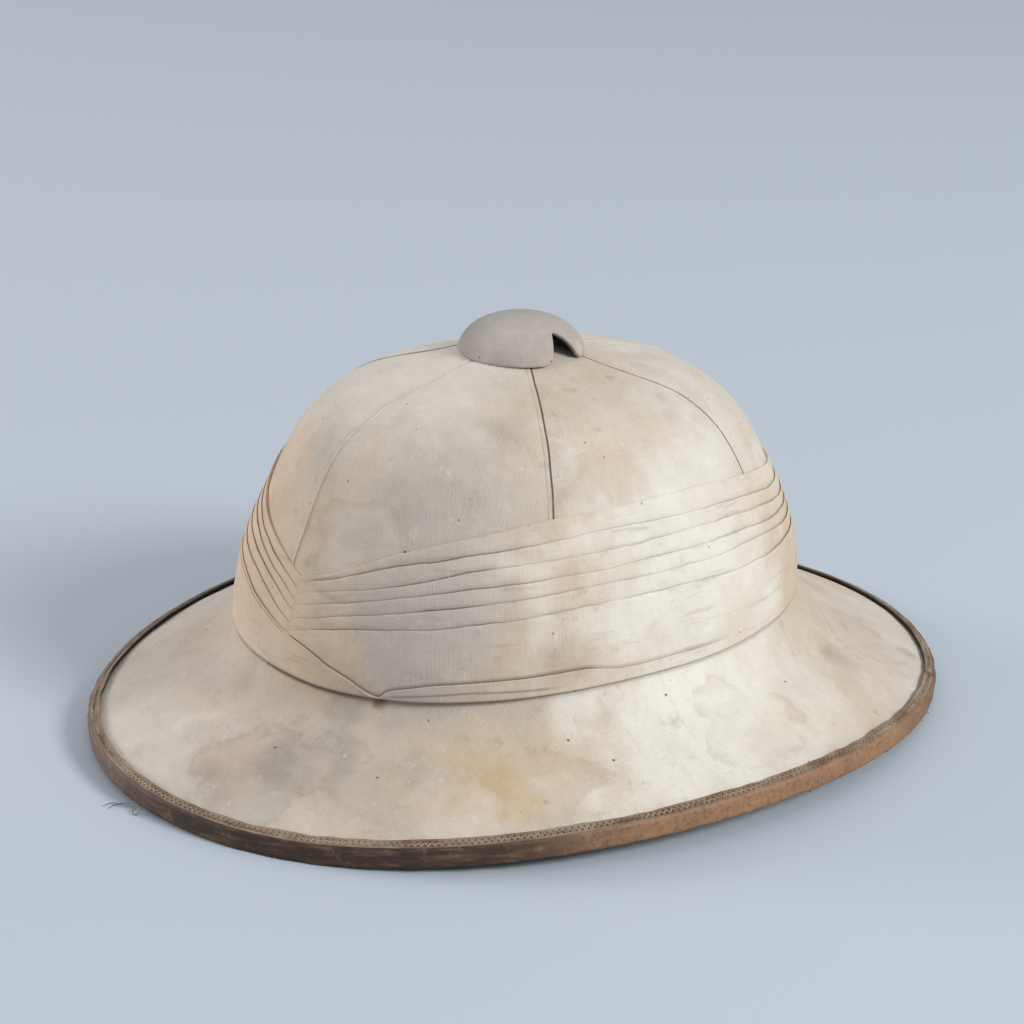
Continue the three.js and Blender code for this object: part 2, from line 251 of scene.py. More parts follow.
def gridMesh(name, points, uv=None, dirtAndShade=None, closeAround=True, closeAcross=True):
    # points is (around, across, 3), and uv has one more row and column, where the grid closes
    n, m = points.shape[:2]
    corners = gridCorners(n, m, closeAround, closeAcross)
    faces = (corners[..., 0] % n) * m + corners[..., 1] % m
    cornerUv = None if uv is None else uv[corners[..., 0], corners[..., 1]]
    return makeMesh(name, points, faces, cornerUv, dirtAndShade)


def runLengths(points):
    # metres along the first axis, with the closing step
    closed = np.concatenate([points, points[:1]])
    steps = np.linalg.norm(np.diff(closed, axis=0), axis=-1)
    return np.concatenate([np.zeros_like(steps[:1]), np.cumsum(steps, 0)]) / 1000


def tubes(name, paths, radius, sides):
    # round threads along paths of points, closed at both ends
    allPoints, allFaces, used = [], [], 0
    for path in paths:
        path = np.asarray(path, float)
        n = len(path)
        ahead = np.gradient(path, axis=0)
        ahead /= np.linalg.norm(ahead, axis=-1, keepdims=True)
        side = np.cross(ahead, [0.03, 0.02, 1])
        side /= np.linalg.norm(side, axis=-1, keepdims=True)
        other = np.cross(ahead, side)
        taper = np.sin(np.pi * (np.arange(n) + 0.6) / (n + 0.2)) ** 0.4
        angles = np.arange(sides) * 2 * np.pi / sides
        ring = side[:, None] * np.cos(angles)[:, None] + other[:, None] * np.sin(angles)[:, None]
        points = path[:, None] + ring * (radius * taper)[:, None, None]
        corners = gridCorners(n, sides, False, True)
        faces = corners[..., 0] * sides + corners[..., 1] % sides
        ends = np.arange(sides)
        allFaces += (faces + used).tolist()
        allFaces += [(ends[::-1] + used).tolist(), (ends + used + (n - 1) * sides).tolist()]
        allPoints.append(points.reshape(-1, 3))
        used += n * sides
    mesh = bpy.data.meshes.new(name)
    mesh.from_pydata((np.concatenate(allPoints) / 1000).tolist(), [], allFaces)
    mesh.attributes.new("dirtAndShade", "FLOAT", "POINT")
    mesh.polygons.foreach_set("use_smooth", np.ones(len(allFaces), bool))
    mesh.update()
    piece = bpy.data.objects.new(name, mesh)
    bpy.context.scene.collection.objects.link(piece)
    return piece


# materials written as sums

def rgb(red, green, blue):
    def linear(v):
        v /= 255
        return v / 12.92 if v <= 0.04045 else ((v + 0.055) / 1.055) ** 2.4
    return (linear(red), linear(green), linear(blue), 1)


class Term:
    def __init__(self, finish, socket):
        self.finish, self.socket = finish, socket

    def math(self, kind, a, b):
        return self.finish.node("ShaderNodeMath", {"operation": kind}, {0: a, 1: b})

    def __add__(self, other):
        return self.math("ADD", self, other)

    __radd__ = __add__

    def __mul__(self, other):
        return self.math("MULTIPLY", self, other)

    __rmul__ = __mul__

    def __sub__(self, other):
        return self.math("SUBTRACT", self, other)

    def __rsub__(self, other):
        return self.math("SUBTRACT", other, self)

    def __truediv__(self, other):
        return self.math("DIVIDE", self, other)

    def __pow__(self, other):
        return self.math("POWER", self, other)

    def __lt__(self, other):
        return self.math("LESS_THAN", self, other)

    def __gt__(self, other):
        return self.math("GREATER_THAN", self, other)

    def __mod__(self, other):
        return self.math("FLOORED_MODULO", self, other)

    def sine(self):
        return self.math("SINE", self, 0)


class Finish:
    # one material and the nodes in it
    def __init__(self, name):
        self.material = bpy.data.materials.new(name)
        self.material.use_nodes = True
        self.tree = self.material.node_tree
        self.tree.nodes.clear()
        self.place = self.node("ShaderNodeTexCoord", output="Object")

    def node(self, kind, settings=None, inputs=None, output=0):
        made = self.tree.nodes.new(kind)
        for key, value in (settings or {}).items():
            setattr(made, key, value)
        for key, value in (inputs or {}).items():
            if isinstance(value, Term):
                self.tree.links.new(value.socket, made.inputs[key])
            else:
                made.inputs[key].default_value = value
        return Term(self, made.outputs[output]) if len(made.outputs) else made

    def mix(self, share, a, b):
        return self.node("ShaderNodeMix", {"data_type": "RGBA"}, {0: share, 6: a, 7: b}, 2)

    def multiply(self, share, a, b):
        settings = {"data_type": "RGBA", "blend_type": "MULTIPLY"}
        return self.node("ShaderNodeMix", settings, {0: share, 6: a, 7: b}, 2)

    def vector(self, kind, a, b, output=0):
        return self.node("ShaderNodeVectorMath", {"operation": kind}, {0: a, 1: b}, output)

    def noise(self, scale, detail=3, roughness=0.5, where=None, distortion=0):
        values = {
            "Vector": where or self.place, "Scale": scale, "Detail": detail,
            "Roughness": roughness, "Distortion": distortion,
        }
        return self.node("ShaderNodeTexNoise", None, values)

    def between(self, value, low, high):
        settings = {"interpolation_type": "SMOOTHSTEP"}
        values = {"Value": value, "From Min": low, "From Max": high}
        return self.node("ShaderNodeMapRange", settings, values)

    def mark(self, name):
        return self.node("ShaderNodeAttribute", {"attribute_name": name}, output="Fac")

    def clothPlace(self):
        return self.node("ShaderNodeUVMap", {"uv_map": "cloth"})

    def parts(self, vector):
        made = self.node("ShaderNodeSeparateXYZ", None, {0: vector})
        outputs = made.socket.node.outputs
        return Term(self, outputs[0]), Term(self, outputs[1])

    def specks(self, scale, share, size):
        cells = self.node("ShaderNodeTexVoronoi", None, {"Vector": self.place, "Scale": scale})
        draw = self.node("ShaderNodeSeparateColor", None, {0: Term(self, cells.socket.node.outputs[1])})
        chance = draw > 1 - share
        return self.between(cells, size, size * 0.4) * chance

    def done(self, color, roughness, height=None, depth=0.001, strength=1.0, settings=None):
        values = {"Base Color": color, "Roughness": roughness, **(settings or {})}
        if height is not None:
            bump = {"Strength": strength, "Distance": depth, "Height": height}
            values["Normal"] = self.node("ShaderNodeBump", None, bump)
        surface = self.node("ShaderNodeBsdfPrincipled", None, values)
        self.node("ShaderNodeOutputMaterial", None, {"Surface": surface})
        return self.material


canvasLook = {
    "cloth": rgb(217, 208, 195), "warm": rgb(204, 186, 161), "pale": rgb(229, 223, 212),
    "grey": rgb(150, 140, 127), "dirtAndShade": rgb(78, 64, 52), "weavePitch": 0.00075, "streak": 0.12,
    "clouds": 34, "thread": 0.85, "lightAndShadeZones": [],
}
# turn, along the shell, radius in millimetres, colour, strength
stainPlaces = [
    (53, 0.47, 27, "tan", 0.6), (64, 0.62, 22, "tan", 0.35), (13, 0.42, 24, "orange", 0.3),
    (18, 0.5, 17, "grey", 0.5), (39, 0.42, 30, "grey", 0.28), (29.6, 0.99, 4.5, "brown", 0.95), (23, 0.955, 12, "grey", 0.45),
    (12, 0.25, 15, "grey", 0.4), (24, 0.62, 26, "grey", 0.35), (80, 0.4, 30, "pale", 0.5), (109, 0.55, 30, "tan", 0.2),
    (137, 0.6, 12, "grey", 0.4), (153, 0.18, 7, "grey", 0.5), (-12, 1.52, 18, "orange", 0.45),
    (9, 1.5, 17, "orange", 0.4), (-4, 1.75, 20, "grey", 0.25), (30, 1.7, 20, "grey", 0.25),
    (85, 1.75, 22, "tan", 0.4), (50, 1.86, 12, "grey", 0.3), (105, 1.83, 16, "tan", 0.3),
    (-9, 1.25, 30, "orange", 0.3), (18, 1.1, 24, "tan", 0.35), (62, 1.12, 30, "grey", 0.18),
    (112, 1.1, 20, "tan", 0.35), (200, 0.5, 34, "tan", 0.5), (255, 0.4, 26, "grey", 0.4),
    (290, 0.55, 30, "orange", 0.35), (232, 1.6, 26, "tan", 0.45), (330, 1.6, 22, "grey", 0.3),
    (180, 1.2, 26, "grey", 0.3), (46, 0.75, 18, "tan", 0.3), (95, 0.75, 24, "pale", 0.4),
]
# wide soft zones of tone, listed the same way; the cream zones on the right side are painted light where it is lit, and
# the lilac zones near the front are painted shade
toneAndLightZones = [
    (-20, 1.35, 70, "peach", 0.85), (8, 1.18, 34, "peach", 0.5), (38, 1.2, 54, "lilac", 0.95),
    (98, 1.3, 75, "cream", 0.8), (92, 0.55, 80, "cream", 0.85), (40, 1.6, 50, "lilac", 0.5),
    (18, 0.45, 55, "lilac", 0.75), (-22, 0.4, 60, "lilac", 0.5), (50, 0.5, 40, "peach", 0.35), (150, 0.5, 60, "lilac", 0.3),
    (240, 1.3, 80, "cream", 0.5), (300, 0.5, 70, "lilac", 0.4), (200, 0.6, 60, "peach", 0.3),
]
# dried water's edges: turn, along, radius in millimetres, strength
tideLines = [
    (17, 0.42, 25, 0.3), (33, 0.5, 17, 0.2), (104, 0.5, 22, 0.2), (60, 0.4, 20, 0.16), (22, 1.5, 18, 0.18),
    (72, 1.62, 15, 0.14), (150, 0.5, 18, 0.2), (222, 0.5, 24, 0.25), (282, 0.45, 20, 0.22), (250, 1.5, 20, 0.2),
]
stainColors = {
    "tan": rgb(200, 170, 130), "orange": rgb(204, 168, 132), "grey": rgb(140, 132, 123),
    "brown": rgb(120, 88, 56), "pale": rgb(240, 233, 218), "peach": rgb(226, 197, 168),
    "cream": rgb(235, 229, 217), "lilac": rgb(190, 179, 168), "edge": rgb(150, 128, 104),
}


def stainedAndLit(finish, color, lowest, highest):
    bend = finish.node("ShaderNodeTexNoise", None, {"Vector": finish.place, "Scale": 45, "Detail": 4}, 1)
    bend = finish.vector("SUBTRACT", bend, (0.5, 0.5, 0.5))
    patchy = finish.between(finish.noise(70, 5, 0.65), 0.3, 0.62)
    places = [(*zone, False) for zone in toneAndLightZones] + [(*place, True) for place in stainPlaces]
    for turn, along, radius, kind, strength, broken in places:
        if not lowest <= along <= highest:
            continue
        centre = tuple(shellFace(turn, along) / 1000)
        push = {0: bend, "Scale": radius * 0.0016}
        pushed = finish.node("ShaderNodeVectorMath", {"operation": "SCALE"}, push)
        here = finish.vector("ADD", finish.place, pushed)
        away = finish.vector("DISTANCE", here, centre, "Value")
        share = finish.between(away, radius / 1000, radius * 0.0002)
        share = share * (0.45 + patchy * 0.55) if broken else share
        color = finish.mix(share * strength, color, stainColors[kind])
    for turn, along, radius, strength in tideLines:
        if not lowest <= along <= highest:
            continue
        centre = tuple(shellFace(turn, along) / 1000)
        pushed = finish.node("ShaderNodeVectorMath", {"operation": "SCALE"}, {0: bend, "Scale": 0.05})
        here = finish.vector("ADD", finish.place, pushed)
        away = finish.vector("DISTANCE", here, centre, "Value")
        inner = finish.between(away, (radius - 7) / 1000, radius / 1000)
        edge = inner * finish.between(away, (radius + 1.2) / 1000, radius / 1000)
        color = finish.mix(edge * patchy * strength, color, stainColors["edge"])
    return color


# colour zones by place, used to paint light and shade onto a finish
def paintLightAndShade(finish, color, look, breakUp):
    for centre, far, near, tone, strength in look["lightAndShadeZones"]:
        share = finish.between(finish.vector("DISTANCE", finish.place, centre, "Value"), far, near)
        color = finish.mix(share * (0.7 + breakUp * 0.6) * strength, color, look[tone])
    return color


def clothFinish(name, look, lowest, highest, dirtAndShadeShare):
    finish = Finish(name)
    u, v = finish.parts(finish.clothPlace())
    turnsPerThread = 2 * math.pi / look["weavePitch"]
    weave = (u * turnsPerThread).sine() * (v * turnsPerThread).sine()
    long = finish.node("ShaderNodeCombineXYZ", None, {0: u * 1400, 1: v * 110})
    wide = finish.node("ShaderNodeCombineXYZ", None, {0: u * 110, 1: v * 1400})
    slubs = finish.noise(1, 2, 0.5, long) * 1.3 + finish.noise(1, 2, 0.5, wide) * 0.7
    broad = finish.noise(9, 4, 0.6, None, 0.4)
    cloudy = finish.noise(look["clouds"], 5, 0.62)
    fine = finish.noise(240, 4, 0.6)
    color = finish.mix(finish.between(broad, 0.35, 0.68), look["cloth"], look["warm"])
    color = finish.mix(finish.between(cloudy, 0.5, 0.72) * 0.55, color, look["pale"])
    color = finish.mix(finish.between(cloudy, 0.46, 0.26) * 0.3, color, look["grey"])
    color = paintLightAndShade(finish, stainedAndLit(finish, color, lowest, highest), look, cloudy)
    smear = finish.between(finish.noise(110, 5, 0.7), 0.56, 0.74) * finish.between(broad, 0.4, 0.56)
    color = finish.mix(smear * 0.46, color, look["grey"])
    blots = finish.between(finish.noise(62, 6, 0.72, None, 0.5), 0.52, 0.68)
    color = finish.mix(blots * 0.16, color, look["warm"])
    dragged = finish.node("ShaderNodeCombineXYZ", None, {0: u * 30, 1: v * 260})
    streak = finish.between(finish.noise(1, 5, 0.68, dragged), 0.54, 0.72)
    color = finish.mix(streak * look["streak"], color, look["grey"])
    chafed = finish.between(finish.noise(300, 3, 0.6), 0.62, 0.74) * finish.between(cloudy, 0.4, 0.55)
    color = finish.mix(chafed * 0.4, color, look["pale"])
    color = finish.multiply(0.24 * look["thread"], color, finish.mix(slubs * 0.5, rgb(205, 200, 192), rgb(255, 255, 255)))
    color = finish.multiply(0.25, color, finish.mix(fine, rgb(190, 182, 170), rgb(255, 255, 255)))
    color = finish.mix(finish.specks(80, 0.3, 0.06) * 0.9, color, look["dirtAndShade"])
    color = finish.mix(finish.specks(200, 0.12, 0.12) * 0.65, color, look["dirtAndShade"])
    # the marked places take the dark colour: mostly painted shade in creases, gutters, gaps and undersides, with some
    # dirt
    color = finish.mix(finish.mark("dirtAndShade") * dirtAndShadeShare, color, look["dirtAndShade"])
    height = (weave * 0.05 + slubs * 0.3) * look["thread"] + fine * 0.34 + cloudy * 0.9
    sheen = {"Specular IOR Level": 0.18, "Sheen Weight": 0.12, "Sheen Roughness": 0.6}
    return finish.done(color, 0.93, height, 0.0007, 1.0, sheen)


canvas = clothFinish("canvas", canvasLook, 0, 2, 0.92)

bandLook = {
    "cloth": rgb(219, 207, 191), "warm": rgb(207, 186, 159), "pale": rgb(230, 223, 210),
    "grey": rgb(150, 137, 121), "dirtAndShade": rgb(82, 66, 52), "weavePitch": 0.0006, "streak": 0.36,
    "clouds": 34, "thread": 0.6, "lightAndShadeZones": [],
}
bandCloth = clothFinish("bandCloth", bandLook, 0.9, 1.6, 0.9)

capLook = {
    "cloth": rgb(182, 173, 163), "warm": rgb(171, 156, 143), "pale": rgb(200, 190, 178),
    "grey": rgb(136, 132, 124), "dirtAndShade": rgb(62, 48, 38), "weavePitch": 0.0006, "streak": 0.1,
    "clouds": 105, "thread": 0.25,
    # grey zones over the cap's left side and the front of its rim: painted shade
    "lightAndShadeZones": [
        ((-0.012, -0.004, 0.158), 0.03, 0.008, "grey", 0.7), ((-0.004, -0.024, 0.147), 0.016, 0.004, "grey", 0.5),
    ],
}
capCloth = clothFinish("capCloth", capLook, 5, 6, 1.0)

leatherLook = {
    "dark": rgb(76, 54, 40), "mid": rgb(112, 82, 60), "tan": rgb(158, 120, 88),
    "worn": rgb(176, 150, 122), "grimyAndShaded": rgb(50, 39, 32),
    "rustAndLight": rgb(178, 134, 96), "ash": rgb(130, 114, 106), "hole": rgb(44, 32, 26), "strip": rgb(164, 146, 124),
    "stitchPitch": 1.15, "rowNear": 2.8, "rowFar": 1.65,
    # zones paint the binding's light and shade: rust-tan over the lit right side, darker at the front, grey at the left
    # front, and rust at the back left
    "lightAndShadeZones": [
        ((0.16, 0.02, 0), 0.17, 0.06, "rustAndLight", 0.6), ((-0.06, -0.17, 0), 0.14, 0.05, "ash", 0.45),
        ((0.09, -0.14, 0), 0.12, 0.05, "grimyAndShaded", 0.9), ((-0.15, 0.08, 0), 0.12, 0.03, "rustAndLight", 0.4),
    ],
}


def leatherFinish():
    look = leatherLook
    finish = Finish("bindingLeather")
    u, v = finish.parts(finish.clothPlace())
    drawn = finish.node("ShaderNodeCombineXYZ", None, {0: u * 60, 1: v * 420})
    drag = finish.noise(1, 5, 0.65, drawn)
    blotch = finish.noise(38, 5, 0.65, None, 0.6)
    fine = finish.noise(420, 4, 0.6)
    color = finish.mix(finish.between(blotch, 0.36, 0.66), look["dark"], look["mid"])
    color = paintLightAndShade(finish, color, look, blotch)
    color = finish.mix(finish.between(drag, 0.44, 0.72) * 0.34, color, look["tan"])
    pores = finish.between(finish.noise(520, 5, 0.75), 0.52, 0.38)
    color = finish.mix(pores * 0.42, color, look["dark"])
    rubbed = finish.between(finish.noise(130, 5, 0.7), 0.55, 0.72)
    color = finish.mix(rubbed * 0.22, color, look["worn"])
    strip = finish.between(v, 0.0042, 0.0036)
    stripTone = finish.mix(finish.between(blotch, 0.3, 0.7), look["mid"], look["strip"])
    color = finish.mix(strip * 0.85, color, stripTone)
    # the dark hole colour over the marked rows is painted shade under the lip, in the gaps against the brim and under
    # the foot
    color = finish.mix(finish.mark("dirtAndShade") * 0.85, color, look["hole"])
    pitch = look["stitchPitch"] / 1000
    height = drag * 0.5 + fine * 0.3 + blotch * 0.6 - rubbed * 0.2
    for row, shift in ((look["rowNear"], 0), (look["rowFar"], pitch)):
        alongRow = (u + shift) % (2 * pitch) - pitch
        acrossRow = v - row / 1000
        away = (alongRow * alongRow + acrossRow * acrossRow) ** 0.5
        hole = finish.between(away, 0.0004, 0.00018)
        color = finish.mix(hole * 0.68, color, look["hole"])
        height = height - hole * 0.8
    finishSettings = {"Specular IOR Level": 0.35}
    return finish.done(color, 0.6 + rubbed * 0.2, height, 0.0007, 0.8, finishSettings)


bindingLeather = leatherFinish()


def plainFinish(name, low, high, scale, roughness, metallic=0):
    finish = Finish(name)
    patch = finish.noise(scale, 4, 0.6)
    color = finish.mix(finish.between(patch, 0.35, 0.65), low, high)
    return finish.done(color, roughness, patch, 0.0003, 0.5, {"Metallic": metallic})


stitchThread = plainFinish("stitchThread", rgb(100, 86, 72), rgb(182, 166, 146), 60, 0.85)
looseThread = plainFinish("looseThread", rgb(70, 64, 60), rgb(104, 96, 88), 200, 0.8)
postMetal = plainFinish("postMetal", rgb(58, 46, 36), rgb(92, 76, 60), 300, 0.6, 0.4)
print("materials made")


# the canvas shell

cover = {
    "turnSteps": 80, "brimSteps": 58, "crownSteps": 66, "liningSteps": 26,
    "wallCrown": 5, "wallEdge": 3.6, "hole": 9, "unevenness": 0.34, "seamDip": 0.14,
}


def coverStations():
    stops = seamTurns + [seamTurns[0] + 360]
    spans = [np.linspace(a, b, cover["turnSteps"], endpoint=False) for a, b in zip(stops, stops[1:])]
    return np.concatenate(spans)


def seamDistance(turn, along):
    # millimetres round the crown to the nearest seam
    radius = np.hypot(*np.moveaxis(shellFace(turn, along), -1, 0)[:2])
    away = np.min([np.abs((turn - s + 180) % 360 - 180) for s in seamTurns], axis=0)
    return np.radians(away) * radius


def buildCover():
    turn = coverStations()[:, None]
    brimRow = 1 - (1 - np.linspace(0, 1, cover["brimSteps"])) ** 1.6
    rise = np.sin(np.linspace(0, 1, cover["crownSteps"] + 1)[1:] * math.pi / 2)
    hole = alongNearCap(turn, cover["hole"])
    climb = 1 + (hole - 1) * rise[None]
    along = np.concatenate([np.broadcast_to(brimRow, (len(turn), len(brimRow))), climb], 1)
    face = shellFace(turn, along)
    x, y, z = np.moveaxis(face, -1, 0)
    uneven = wobble(3, x / 55, y / 55, z / 55) + 0.35 * wobble(4, x / 17, y / 17, z / 17)
    fade = smooth(0, 0.09, along)
    lift = cover["unevenness"] * uneven * fade
    onCrown = smooth(1.25, 1.45, along)
    beside = onCrown * np.exp(-((seamDistance(turn, along) / 4) ** 2))
    lift = lift * (1 - beside) - cover["seamDip"] * beside
    outside = face + faceNormal(turn, along) * lift[..., None]
    back = np.linspace(0, 1, cover["liningSteps"])[None]
    liningAlong = hole + (0.05 - hole) * back
    wall = lerp(cover["wallEdge"], cover["wallCrown"], np.minimum(liningAlong, 1))
    inside = besideShell(turn, liningAlong, -wall)
    under = shellFace(turn, 0 * turn)
    under[..., 2] -= cover["wallEdge"]
    points = np.concatenate([outside, inside, under], 1)
    n, m = points.shape[:2]
    corners = gridCorners(n, m, True, True)
    place = points[corners[..., 0] % n, corners[..., 1] % m]
    gore = corners[:, 0, 0] // cover["turnSteps"]
    middle = np.array(seamTurns) + np.diff(seamTurns + [seamTurns[0] + 360]) / 2
    lean = np.radians(middle)[gore][:, None]
    across = place[..., 0] * np.cos(lean) + place[..., 1] * np.sin(lean)
    outward = place[..., 0] * np.sin(lean) - place[..., 1] * np.cos(lean)
    high = corners[:, :1, 1] >= cover["brimSteps"]
    downward = np.where(high, place[..., 2] - outward * 0.6, place[..., 1])
    sideways = np.where(high, across, place[..., 0])
    uv = np.stack([sideways, downward], -1) / 1000
    faces = (corners[..., 0] % n) * m + corners[..., 1] % m
    reach = np.linalg.norm(shellFace(turn, 0 * turn) - shellFace(turn, 0 * turn + 1), axis=-1)
    fromCrown = reach * (1 - along)
    # the brim next to the crown's foot is darkened: painted shade in the joint under the band, with some dirt,
    # strongest from turn 300 round to turn 34
    junctionDirtAndShade = 0.3 + 0.6 * smooth(34, 16, turn % 360) + 0.25 * smooth(300, 330, turn % 360)
    dirtAndShade = np.zeros((n, m))
    dirtAndShade[:, :along.shape[1]] = np.clip(junctionDirtAndShade, 0, 1) * smooth(0.95, 0.35, fromCrown) * (along < 1.01)
    return makeMesh("shellCover", points, faces, uv, dirtAndShade)


shellCover = buildCover()
shellCover.data.materials.append(canvas)
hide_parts("crown_shell", "brim_shell")
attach(shellCover, "root")
print("shell covered")


# felled seams over the crown: side and up, in millimetres, then how dark it is painted, as shade in the gutter beside
# the steep edge with some dirt

welt = {
    "section": [
        (-1.6, -0.35, 0), (-1.3, 0, 0), (-0.9, 0.2, 0), (-0.4, 0.42, 0), (0, 0.48, 0),
        (0.22, 0.38, 0.4), (0.34, 0.16, 1), (0.5, 0.02, 1), (0.85, 0, 1), (1.0, 0.04, 0.5),
        (1.25, 0.08, 0), (1.6, -0.35, 0), (0, -0.6, 0),
    ],
    "steps": 90, "tuck": 5, "underCap": 21.5,
    "grimeAndCreaseShade": [0.2, 1.3, 1.3, 0.9, 1, 1], "rise": [0.9, 0.26, 0.26, 0.7, 0.7, 0.7],
}


def buildWelt(number, turn):
    bandTop = float(foldLine("A", turn))
    low = float(alongAtHeight(turn, bandTop - welt["tuck"]))
    high = float(alongNearCap(turn, welt["underCap"]))
    share = np.linspace(0, 1, welt["steps"])
    along = low + (high - low) * np.sin(share * math.pi / 2)
    normal = faceNormal(turn, along)
    sideways = shellFace(turn + 1, along) - shellFace(turn - 1, along)
    sideways /= np.linalg.norm(sideways, axis=-1, keepdims=True)
    section = np.array(welt["section"])
    sway = 0.22 * wobble(20 + number, share * 6)
    side = section[None, :, 0] + sway[:, None]
    up = np.where(section[:, 1] > 0, section[:, 1] * welt["rise"][number - 1], section[:, 1])
    up = up[None] + 0.04 * wobble(40 + number, share * 14)[:, None]
    base = shellFace(turn, along)
    points = base[:, None] + normal[:, None] * up[..., None] + sideways[:, None] * side[..., None]
    n, m = points.shape[:2]
    down = runLengths(base)[:, None]
    acrossUv = np.concatenate([section[:, 0], section[:1, 0]])[None] / 1000
    uv = np.stack(np.broadcast_arrays(acrossUv, down), -1)
    # painted shade and dirt along the gutter, set per seam
    grimeAndCreaseShade = welt["grimeAndCreaseShade"][number - 1] * (0.85 + 0.15 * wobble(60 + number, share * 20))
    dirtAndShade = np.clip(section[:, 2] * grimeAndCreaseShade[:, None], 0, 1)
    seam = gridMesh(f"crownWelt{number}", points, uv, dirtAndShade, closeAround=False)
    seam.data.materials.append(canvas)
    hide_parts(f"crown_seam_{number}")
    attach(seam, "root")


# the pugaree: each fold's height at a turn, on the side of the mitre that it runs to

mitre = {"turn": 7.5, "blend": 0.5, "crease": 0, "overlap": 0.07, "press": 0.88, "pressSpan": 9}
foldsLeft = {
    "A": [(7.5, 76.8), (14, 80.6), (20.6, 85.5), (29.2, 92.5), (40.2, 98.2), (47.4, 100.9), (63.8, 105.4),
          (80.8, 106.7), (105.3, 107), (126.5, 104.5), (138, 102), (150.5, 98.5), (187.5, 94)],
    "B": [(7.5, 74.5), (17.4, 80.7), (28.8, 88), (41.3, 93), (56.5, 96.5), (79.7, 99.5), (96.5, 99.3),
          (114.7, 98.7), (127.3, 96.8), (144.3, 92.5), (187.5, 88.5)],
    "C": [(7.5, 71), (10.8, 72.8), (24.8, 79.3), (34.2, 83.7), (45.7, 88.4), (66.4, 92), (96.5, 93.4),
          (113.3, 93.2), (131.1, 90.6), (147.9, 87), (187.5, 84)],
    "D": [(7.5, 66.3), (10.7, 67.9), (22.9, 74.1), (36.6, 80.1), (48.2, 83.2), (68.2, 85.9), (101.2, 87.2),
          (121.6, 86.3), (138.7, 84), (187.5, 80)],
    "E": [(7.5, 61.5), (23.5, 69.9), (42.6, 76.3), (61.9, 80), (80.5, 81.4), (98.4, 81.5), (123.5, 81.6),
          (142.1, 79), (187.5, 76.5)],
    "F": [(7.5, 56.6), (21.5, 64.4), (31.7, 67.3), (42.9, 69.7), (55.4, 72.3), (82.5, 75.3),
          (100.8, 74.8), (121.7, 73.8), (144, 73.2), (187.5, 72)],
    "G": [(7.5, 55.2), (13.5, 53), (19, 49.4), (23, 46.9), (29.5, 42.2), (31.5, 45), (34.9, 46.8),
          (41.5, 49.3), (54.9, 50.9), (70, 52.2), (81.4, 50), (107.2, 50.3), (187.5, 50)],
}
foldsRight = {
    "A": [(7.5, 76.6), (2.5, 79.9), (-4, 83.8), (-12, 88), (-21.5, 92.7), (-30.5, 98), (-50.5, 105),
          (-75.5, 107), (-105.5, 105.5), (-135.5, 99), (-172.5, 94)],
    "B": [(7.5, 72.3), (3, 75.4), (-2.5, 78.8), (-8.5, 82.4), (-15, 85.6), (-21, 88.4), (-30.5, 92.5),
          (-50.5, 98), (-75.5, 99.5), (-105.5, 98), (-135.5, 92), (-172.5, 88.5)],
    "C": [(7.5, 68), (3, 71.9), (-3, 75.6), (-7, 77.9), (-15, 82.2), (-30.5, 87), (-50.5, 91.8),
          (-75.5, 93), (-105.5, 92.3), (-135.5, 87), (-172.5, 84)],
    "D": [(7.5, 64), (2, 68.6), (-3, 71.9), (-7, 74.2), (-12, 76.6), (-16, 78.4), (-30.5, 82),
          (-50.5, 85.8), (-75.5, 86.8), (-105.5, 86), (-135.5, 82.5), (-172.5, 80)],
    "E": [(7.5, 59.5), (4.5, 61.3), (1, 63.9), (-4, 67.4), (-9.5, 70.5), (-15, 72.8), (-30.5, 76.5),
          (-50.5, 80.3), (-75.5, 81.5), (-105.5, 81.5), (-135.5, 78.5), (-172.5, 76.5)],
    "F": [(7.5, 55.3), (5, 56.1), (0.5, 58.3), (-3.5, 60.5), (-8.5, 63.3), (-12, 65.4), (-16.5, 67.6),
          (-30.5, 70.2), (-50.5, 72.8), (-75.5, 74.8), (-105.5, 74), (-135.5, 73), (-172.5, 72)],
    "G": [(7.5, 55.3), (5, 56.1), (0.5, 58.3), (-3.5, 60.5), (-8.5, 63.3), (-12, 65.4), (-16.5, 67.6),
          (-30.5, 70.2), (-172.5, 72)],
}
lapHeight = [(-180, 0), (-45, 0), (-5, 0.4), (7.5, 0.5), (27, 0.6), (29.5, 0.6), (31.5, 0.5), (40, 0.62),
             (69, 0.55), (76, 0.3), (104, 0.28), (118, 0), (190, 0)]
ripple = [(30.9, 42.4), (40.9, 45.1), (47.9, 46.3), (65.2, 46.3)]  # a crease low in the apron
band = {
    "turnSteps": 720, "mitreSteps": 44, "thin": 0.4, "proud": 0.85, "spread": 0.14,
    "flow": 0.26, "puff": 0.12, "sunk": -0.45, "hem": 0.5, "hemThickness": 2.3, "apronRows": 15, "lowRows": 18,
    "flat": (0.066, 0.66),
}
leftCurves = {name: curveThrough(rows) for name, rows in foldsLeft.items()}
rightCurves = {name: curveThrough(rows) for name, rows in foldsRight.items()}
lapCurve = curveThrough(lapHeight)
rippleCurve = curveThrough(ripple)


def foldLine(name, turn):
    turn = (np.asarray(turn, float) + 172.5) % 360 - 172.5
    side = smooth(mitre["turn"] - mitre["blend"], mitre["turn"] + mitre["blend"], turn)
    return lerp(rightCurves[name](turn), leftCurves[name](turn), side)


def bandTurns():
    even = np.linspace(-172.5, 187.5, band["turnSteps"], endpoint=False)
    fine = np.linspace(mitre["turn"] - 1.2, mitre["turn"] + 1.2, band["mitreSteps"])
    return np.unique(np.round(np.concatenate([even, fine]), 4))


